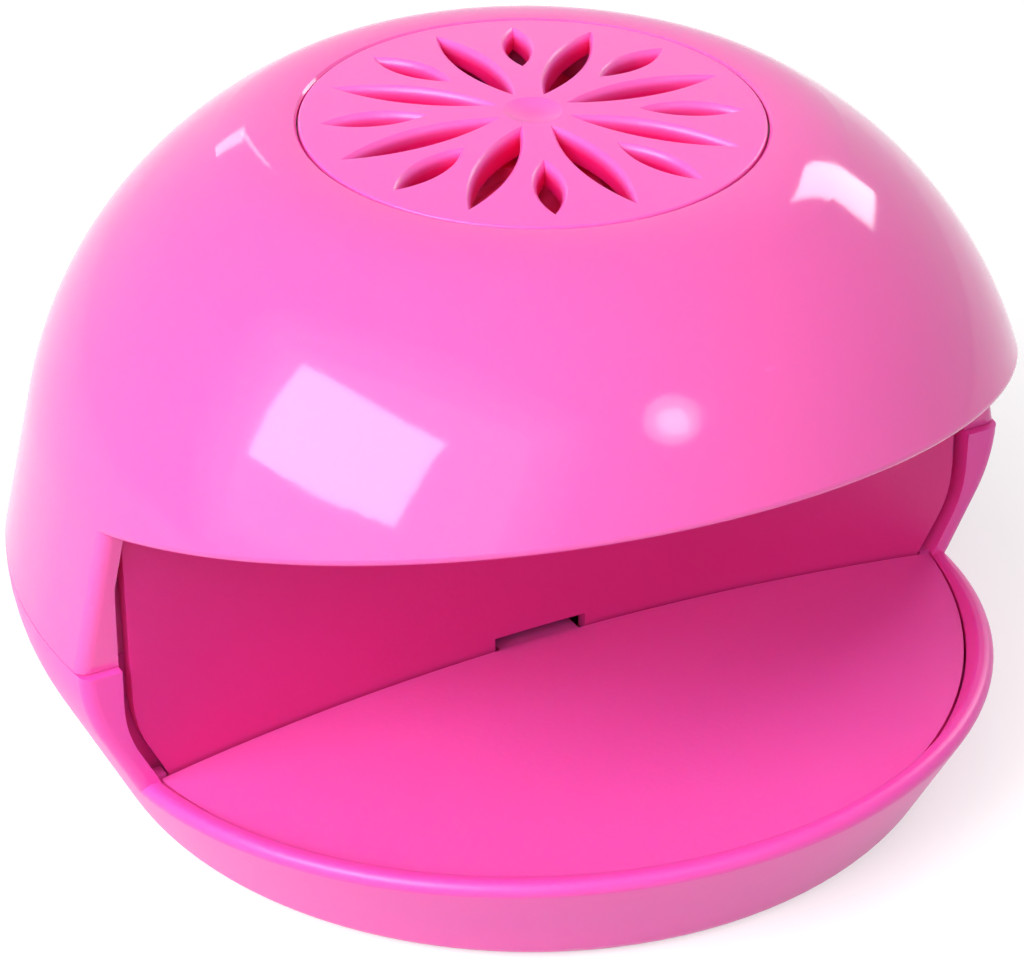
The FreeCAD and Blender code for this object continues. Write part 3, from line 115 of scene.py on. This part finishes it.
# the cells: nub past the can, and bare end, ring and scuffs of the sleeve
CELL_NUB = 0.0005
SLEEVE_BARE_END = 0.0012
SLEEVE_RING_INSET = 0.009
SLEEVE_RING_HALF = 0.0012
SLEEVE_ROUGHNESS = 0.22
SLEEVE_SPREAD = 0.12
SCUFF_SCALE = 300.0
SCUFF_DETAIL = 4.0
SCUFF_DEPTH = 0.00001
# inputs and result of a mix node for colours
MIX_FACTOR = 0
MIX_FIRST = 6
MIX_SECOND = 7
MIX_RESULT = 2

# ------------------------------------------------------------------ springs under the plate
SPRING_PLACES_MM = ((0.0, -36.0), (-30.45, -19.25), (30.45, -19.25))
SPRING_COIL_RADIUS_MM = 4.6
SPRING_WIRE_RADIUS_MM = 0.3
SPRING_TURNS = 4
SPRING_STEPS = 128
SPRING_WIRE_SIDES = 10
SPRING_CLOSED_ENDS = 0.8


def camera_axes():
    """Right, up and backward directions of the camera."""
    forward = Vector((math.sin(CAMERA_HEADING) * math.cos(CAMERA_DROP),
                      math.cos(CAMERA_HEADING) * math.cos(CAMERA_DROP), -math.sin(CAMERA_DROP)))
    level = Vector((math.cos(CAMERA_HEADING), -math.sin(CAMERA_HEADING), 0))
    raised = level.cross(forward)
    right = math.cos(CAMERA_ROLL) * level + math.sin(CAMERA_ROLL) * raised
    return right, right.cross(forward), -forward


def add_camera():
    data = bpy.data.cameras.new("view_camera")
    data.sensor_width = SENSOR_WIDTH
    data.sensor_fit = "HORIZONTAL"
    data.lens = FOCAL_PIXELS / IMAGE_WIDTH * SENSOR_WIDTH
    data.shift_x = (IMAGE_WIDTH / 2 - CENTRE_PIXEL_X) / IMAGE_WIDTH
    camera = bpy.data.objects.new("view_camera", data)
    turn = Matrix(camera_axes()).transposed()
    camera.matrix_world = Matrix.Translation(CAMERA_PLACE) @ turn.to_4x4()
    bpy.context.scene.collection.objects.link(camera)
    bpy.context.scene.camera = camera


# ------------------------------------------------------------------ shader maths
class Socket:
    """A shader socket that takes part in arithmetic."""

    def __init__(self, nodes, socket):
        self.nodes = nodes
        self.socket = socket

    def __add__(self, other):
        return self.nodes.maths("ADD", self, other)

    def __sub__(self, other):
        return self.nodes.maths("SUBTRACT", self, other)

    def __rsub__(self, other):
        return self.nodes.maths("SUBTRACT", other, self)

    def __mul__(self, other):
        return self.nodes.maths("MULTIPLY", self, other)


class Nodes:
    """The node tree of one material or world, emptied."""

    def __init__(self, owner):
        owner.use_nodes = True
        self.tree = owner.node_tree
        self.tree.nodes.clear()

    def feed(self, socket, value):
        """Link a socket to the value, or set it."""
        if isinstance(value, Socket):
            self.tree.links.new(value.socket, socket)
        else:
            socket.default_value = value

    def add(self, kind, settings=None, inputs=None, output=0):
        """Add a node: settings first, then the values or links of its sockets."""
        node = self.tree.nodes.new(kind)
        for name, value in (settings or {}).items():
            setattr(node, name, value)
        for name, value in (inputs or {}).items():
            self.feed(node.inputs[name], value)
        return Socket(self, node.outputs[output]) if len(node.outputs) else node

    def maths(self, operation, *values):
        return self.add("ShaderNodeMath", {"operation": operation}, dict(enumerate(values)))

    def place(self):
        return self.add("ShaderNodeTexCoord", output="Object")

    def along(self, axis):
        """One coordinate of the place on the object."""
        return self.add("ShaderNodeSeparateXYZ", {}, {"Vector": self.place()}, axis)

    def noise(self, scale, detail, place=None):
        return self.add("ShaderNodeTexNoise", {},
                        {"Vector": place or self.place(), "Scale": scale, "Detail": detail})

    def bump(self, height, painted_shade_share):
        return self.add("ShaderNodeBump", {},
                        {"Height": height, "Strength": 1.0, "Distance": painted_shade_share})

    def mix(self, factor, first, second):
        """Colour mixed between two by a factor."""
        node = self.tree.nodes.new("ShaderNodeMix")
        node.data_type = "RGBA"
        for index, value in ((MIX_FACTOR, factor), (MIX_FIRST, first), (MIX_SECOND, second)):
            self.feed(node.inputs[index], value)
        return Socket(self, node.outputs[MIX_RESULT])


def linear(red, green, blue):
    """Linear colour from screen values of 0 to 255."""
    def channel(value):
        value /= 255
        return value / 12.92 if value <= 0.04045 else ((value + 0.055) / 1.055) ** 2.4
    return (channel(red), channel(green), channel(blue), 1.0)


def shaded(colour, factor):
    """The colour made darker."""
    return tuple(channel * factor for channel in colour[:3]) + (1.0,)


def material(name, sockets, drive):
    """Principled material: uniform sockets, then what drive(nodes) gives for the varying ones."""
    result = bpy.data.materials.new(name)
    nodes = Nodes(result)
    surface = nodes.tree.nodes.new("ShaderNodeBsdfPrincipled")
    nodes.add("ShaderNodeOutputMaterial", {}, {"Surface": Socket(nodes, surface.outputs[0])})
    for socket, value in {**sockets, **drive(nodes)}.items():
        nodes.feed(surface.inputs[socket], value)
    return result


def moulded_plastic(name, colour, roughness, spread, grain, grain_depth, sockets=None):
    """Moulded plastic: slow drift in colour and roughness, and a fine grain."""
    def drive(nodes):
        drift = nodes.noise(DRIFT_SCALE, DRIFT_DETAIL)
        return {"Base Color": nodes.mix(drift, shaded(colour, DRIFT_SHADE), colour),
                "Roughness": drift * spread + (roughness - spread / 2),
                "Normal": nodes.bump(nodes.noise(grain, GRAIN_DETAIL), grain_depth)}
    return material(name, sockets or {}, drive)


def grille_plastic(name, colour, painted_shade_colour, sockets):
    """Moulded plastic with painted shade: petal walls turn deeper pink below the grille's face."""
    def drive(nodes):
        flat = nodes.add("ShaderNodeVectorMath", {"operation": "MULTIPLY"},
                         {0: nodes.place(), 1: (1, 1, 0)})
        square = nodes.add("ShaderNodeVectorMath", {"operation": "DOT_PRODUCT"},
                           {0: flat, 1: flat}, "Value")
        below = GRILLE_TOP - square * GRILLE_FALL - nodes.along("Z")
        # painted shade: share of deep pink, growing with depth below the face
        painted_shade_share = nodes.add("ShaderNodeMapRange", {}, {"Value": below, "From Min": GRILLE_PAINTED_SHADE_FROM,
                                                     "From Max": GRILLE_PAINTED_SHADE_TO})
        drift = nodes.noise(DRIFT_SCALE, DRIFT_DETAIL)
        grain = nodes.noise(GRILLE_GRAIN, GRAIN_DETAIL)
        return {"Base Color": nodes.mix(painted_shade_share, colour, painted_shade_colour),
                "Roughness": drift * GRILLE_SPREAD + (GRILLE_ROUGHNESS - GRILLE_SPREAD / 2),
                "Normal": nodes.bump(grain, GRILLE_GRAIN_DEPTH)}
    return material(name, sockets, drive)


def metal(name, colour, roughness, spread, stretch):
    """Plated or drawn metal: streaks along the way it was worked, and dull patches."""
    def drive(nodes):
        stretched = nodes.add("ShaderNodeMapping", {}, {"Vector": nodes.place(), "Scale": stretch})
        streak = nodes.noise(1.0, STREAK_DETAIL, stretched)
        dull = nodes.noise(DULL_SCALE, DULL_DETAIL)
        return {"Base Color": nodes.mix(dull, shaded(colour, DULL_SHADE), colour),
                "Roughness": streak * spread + (dull * spread + (roughness - spread)),
                "Normal": nodes.bump(streak, STREAK_DEPTH)}
    return material(name, {"Metallic": 1.0}, drive)


def cell_sleeve(name, middle, half_length):
    """Battery: a printed sleeve between bare metal ends, with one pale ring round it."""
    def drive(nodes):
        off = nodes.maths("ABSOLUTE", nodes.along("X") - middle)
        bare = nodes.maths("GREATER_THAN", off, half_length - SLEEVE_BARE_END)
        ring = nodes.maths("COMPARE", off, half_length - SLEEVE_RING_INSET, SLEEVE_RING_HALF)
        scuff = nodes.noise(SCUFF_SCALE, SCUFF_DETAIL)
        return {"Base Color": nodes.mix(bare, nodes.mix(ring, SLEEVE_GREY, RING_PALE), CELL_METAL),
                "Metallic": bare, "Roughness": scuff * SLEEVE_SPREAD + SLEEVE_ROUGHNESS,
                "Normal": nodes.bump(scuff, SCUFF_DEPTH)}
    return material(name, {}, drive)


# ------------------------------------------------------------------ stage and lamps
def seen_directly(nodes):
    """1 for camera, glossy and transmitted rays, 0 for the light that falls on the object."""
    camera, glossy, through = (
        nodes.add("ShaderNodeLightPath", output=output)
        for output in ("Is Camera Ray", "Is Glossy Ray", "Is Transmission Ray"))
    return nodes.maths("MAXIMUM", nodes.maths("MAXIMUM", camera, glossy), through)


def add_floor():
    """Pale floor that shows white where no shadow falls, and is clear from underneath."""
    bpy.ops.object.select_all(action="DESELECT")
    bpy.ops.mesh.primitive_plane_add(size=FLOOR_SIZE, location=(0, 0, FLOOR_DROP))
    floor = bpy.context.object
    floor.name = "floor"
    result = bpy.data.materials.new("pale_floor")
    nodes = Nodes(result)
    diffuse = nodes.add("ShaderNodeBsdfDiffuse", {}, {"Color": FLOOR_GREY})
    lift = nodes.add("ShaderNodeEmission", {}, {"Strength": FLOOR_LIFT})
    both = nodes.add("ShaderNodeAddShader", {}, {0: diffuse, 1: lift})
    top = nodes.add("ShaderNodeMixShader", {}, {0: seen_directly(nodes), 1: diffuse, 2: both})
    clear = nodes.add("ShaderNodeBsdfTransparent")
    underneath = nodes.add("ShaderNodeNewGeometry", output="Backfacing")
    surface = nodes.add("ShaderNodeMixShader", {}, {0: underneath, 1: top, 2: clear})
    nodes.add("ShaderNodeOutputMaterial", {}, {"Surface": surface})
    floor.data.materials.append(result)


def add_world():
    """White to look at and in the gloss, and a faint even fill for the light on the object."""
    world = bpy.data.worlds.new("studio")
    bpy.context.scene.world = world
    nodes = Nodes(world)
    fill, white = (nodes.add("ShaderNodeBackground", {}, {"Color": WHITE, "Strength": strength})
                   for strength in (FILL_STRENGTH, 1.0))
    surface = nodes.add("ShaderNodeMixShader", {}, {0: seen_directly(nodes), 1: fill, 2: white})
    nodes.add("ShaderNodeOutputWorld", {}, {"Surface": surface})


def add_area(name, place, side, size, power, in_gloss, is_round):
    """Softbox facing the object, its longer way along side."""
    data = bpy.data.lights.new(name, "AREA")
    data.shape = "ELLIPSE" if is_round else "RECTANGLE"
    data.size, data.size_y = size
    data.energy = power
    lamp = bpy.data.objects.new(name, data)
    place = Vector(place)
    back = (place - LAMP_AIM).normalized()
    across = (Vector(side) - Vector(side).dot(back) * back).normalized()
    turn = Matrix((across, back.cross(across), back)).transposed()
    lamp.matrix_world = Matrix.Translation(place) @ turn.to_4x4()
    lamp.visible_glossy = in_gloss
    bpy.context.scene.collection.objects.link(lamp)


bpy.context.scene.view_settings.view_transform = "Standard"
add_camera()
add_world()
add_floor()
for lamp in LAMPS:
    add_area(*lamp)

# ------------------------------------------------------------------ materials of the CAD nodes
PINK = linear(251, 93, 183)
SATIN_PINK = linear(252, 91, 190)
BASE_PINK = linear(250, 80, 186)
# painted shade: the shell's pink made darker for the back wall and outlet panel, shaded under the
# hood
PAINTED_SHADE_WALL_PINK = linear(230, 52, 148)
# painted shade: a deeper, redder pink for the fan and bracket, for the shaded inside seen through
# the petals
PAINTED_SHADE_FAN_PINK = linear(253, 52, 132)
GRILLE_PINK = linear(252, 97, 190)
# painted shade: the deep pink that the petal walls turn below the grille's face
GRILLE_PAINTED_SHADE_PINK = linear(244, 26, 120)
SLEEVE_GREY = linear(66, 70, 78)
RING_PALE = linear(225, 225, 222)
CELL_METAL = linear(206, 204, 200)
TRANSLUCENT = {"Subsurface Weight": 0.35, "Subsurface Radius": (1.0, 0.12, 0.4),
               "Subsurface Scale": 0.002}
# kind: name of the material, colour, roughness, its spread, scale and depth of the grain, sockets
PLASTICS = {
    "pink_gloss": ("gloss_pink", PINK, 0.08, 0.03, 900.0, 0.000004, TRANSLUCENT),
    "pink_satin": ("satin_pink", SATIN_PINK, 0.36, 0.06, 1500.0, 0.00002, TRANSLUCENT),
    "base_satin": ("base_pink", BASE_PINK, 0.34, 0.04, 900.0, 0.000006, TRANSLUCENT),
    # painted shade: darker pink for the shaded walls of the slot
    "wall_satin_painted_shade": ("painted_shade_wall_pink", PAINTED_SHADE_WALL_PINK, 0.42, 0.06, 1500.0, 0.00002, TRANSLUCENT),
    # painted shade: deeper pink for the fan and bracket inside the shell
    "fan_satin_painted_shade": ("painted_shade_fan_pink", PAINTED_SHADE_FAN_PINK, 0.42, 0.06, 1500.0, 0.00002, TRANSLUCENT),
    "white_plastic": ("white_moulding", linear(232, 230, 226), 0.34, 0.08, 1200.0, 0.00002),
    "black_plastic": ("black_moulding", linear(38, 38, 40), 0.4, 0.1, 1200.0, 0.00002),
    "red_insulation": ("red_insulation", linear(176, 28, 30), 0.42, 0.1, 2000.0, 0.00001),
    "black_insulation": ("black_insulation", linear(28, 28, 30), 0.42, 0.1, 2000.0, 0.00001),
    "blue_insulation": ("blue_insulation", linear(34, 66, 158), 0.42, 0.1, 2000.0, 0.00001)}
# kind: name of the material, colour, roughness, its spread, scales of the streaks
METALS = {
    "zinc_steel": ("zinc_plated_steel", linear(186, 190, 196), 0.34, 0.12, DRAWN_GRAIN),
    "nickel": ("nickel_plate", linear(206, 202, 192), 0.26, 0.1, EVEN_GRAIN),
    "terminal_brass": ("terminal_brass", linear(214, 178, 108), 0.3, 0.1, EVEN_GRAIN)}
finishes = {kind: moulded_plastic(*values) for kind, values in PLASTICS.items()}
finishes.update((kind, metal(*values)) for kind, values in METALS.items())
own_finish = {
    "base_shell": finishes["base_satin"],
    # the back wall and outlet panel get the darker pink of painted shade
    "back_wall": finishes["wall_satin_painted_shade"], "outlet_panel": finishes["wall_satin_painted_shade"],
    # the fan and its bracket get the deeper pink of painted shade
    "fan_impeller": finishes["fan_satin_painted_shade"], "motor_bracket": finishes["fan_satin_painted_shade"],
    # the grille's petal walls get painted shade that deepens with depth
    "vent_grille": grille_plastic("grille_pink", GRILLE_PINK, GRILLE_PAINTED_SHADE_PINK, TRANSLUCENT)}


def finish_nodes():
    """Give each CAD node its own finish, or else the finish of its material slot."""
    for node in NODES:
        for slot in NODES[node].material_slots:
            kind = slot.material.name.split(".")[0]
            if kind == "cell_jacket":
                low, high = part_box(node)
                slot.material = cell_sleeve("sleeve_" + node, (low[0] + high[0]) / 2,
                                            (high[0] - low[0]) / 2 - CELL_NUB)
            else:
                slot.material = own_finish.get(node, finishes[kind])


def coil(x, y, low, high):
    """Points and faces of one round-wire coil with closed ends between two heights."""
    radius = SPRING_COIL_RADIUS_MM * MM
    wire = SPRING_WIRE_RADIUS_MM * MM
    sides = SPRING_WIRE_SIDES
    points, faces = [], []
    for step in range(SPRING_STEPS + 1):
        share = step / SPRING_STEPS
        turn = 2 * math.pi * SPRING_TURNS * share
        climb = share - SPRING_CLOSED_ENDS * math.sin(2 * math.pi * share) / (2 * math.pi)
        height = low + wire + (high - low - 2 * wire) * climb
        for side in range(sides):
            angle = 2 * math.pi * side / sides
            out = radius + wire * math.cos(angle)
            points.append((x + out * math.cos(turn), y + out * math.sin(turn),
                           height + wire * math.sin(angle)))
    for step in range(SPRING_STEPS):
        for side in range(sides):
            here = step * sides + side
            beside = step * sides + (side + 1) % sides
            faces.append((here, here + sides, beside + sides, beside))
    faces.append(tuple(range(sides)))
    faces.append(tuple(reversed(range(len(points) - sides, len(points)))))
    return points, faces


def add_plate_springs():
    """Coil springs under the press plate, in place of the plate_springs node."""
    low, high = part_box("plate_springs")
    points, faces = [], []
    for x, y in SPRING_PLACES_MM:
        more_points, more_faces = coil(x * MM, y * MM, low.z, high.z)
        faces += [tuple(len(points) + corner for corner in face) for face in more_faces]
        points += more_points
    mesh = bpy.data.meshes.new("plate_spring_coils")
    mesh.from_pydata(points, [], faces)
    mesh.shade_smooth()
    mesh.materials.append(finishes["zinc_steel"])
    coils = bpy.data.objects.new("plate_spring_coils", mesh)
    bpy.context.scene.collection.objects.link(coils)
    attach(coils, "housing")
    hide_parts("plate_springs")
    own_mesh(coils)


finish_nodes()
add_plate_springs()
